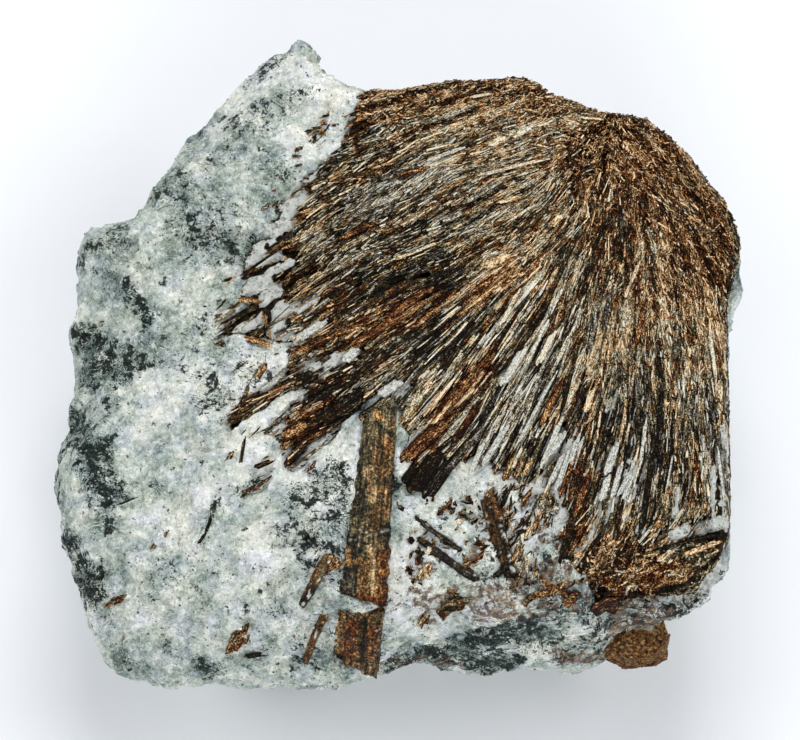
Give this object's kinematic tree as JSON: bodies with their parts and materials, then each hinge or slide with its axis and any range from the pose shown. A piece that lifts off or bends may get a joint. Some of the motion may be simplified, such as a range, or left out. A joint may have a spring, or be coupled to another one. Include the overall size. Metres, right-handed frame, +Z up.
{
  "type": "astrophyllite specimen",
  "caption": "Hand-sized broken block of pale, grey-green host rock with a radiating fan of bronze-brown bladed astrophyllite crystals over half of its top face.",
  "frame": {"origin": "centre of the bounding box in plan, on the flat foot that the block rests on (z = 0)", "axes": "+Z up out of the broken face that carries the fan of blades, +X to the right and +Y away from the viewer of the picture"},
  "size_m": [0.0944, 0.0904, 0.0391],
  "materials": {
    "host_rock": "matt, sugary broken rock with dark green needles",
    "fan_blades": "glossy bronze cleavage faces in fine streaks",
    "broad_blades": "satin, dark bronze, streaked along its length",
    "small_blades": "satin red-brown",
    "needles": "glossy, nearly black green",
    "matted_blades": "rough rusty brown"
  },
  "bodies": {
    "root": {"matrix": "host_rock", "blade_fan": "fan_blades", "broad_blade_upper": "broad_blades", "broad_blade_lower": "broad_blades", "side_blade": "small_blades", "side_finger": "small_blades", "long_lath": "small_blades", "needle_left": "needles", "needle_right": "needles", "lower_cluster": "matted_blades"}
  },
  "joints": []
}
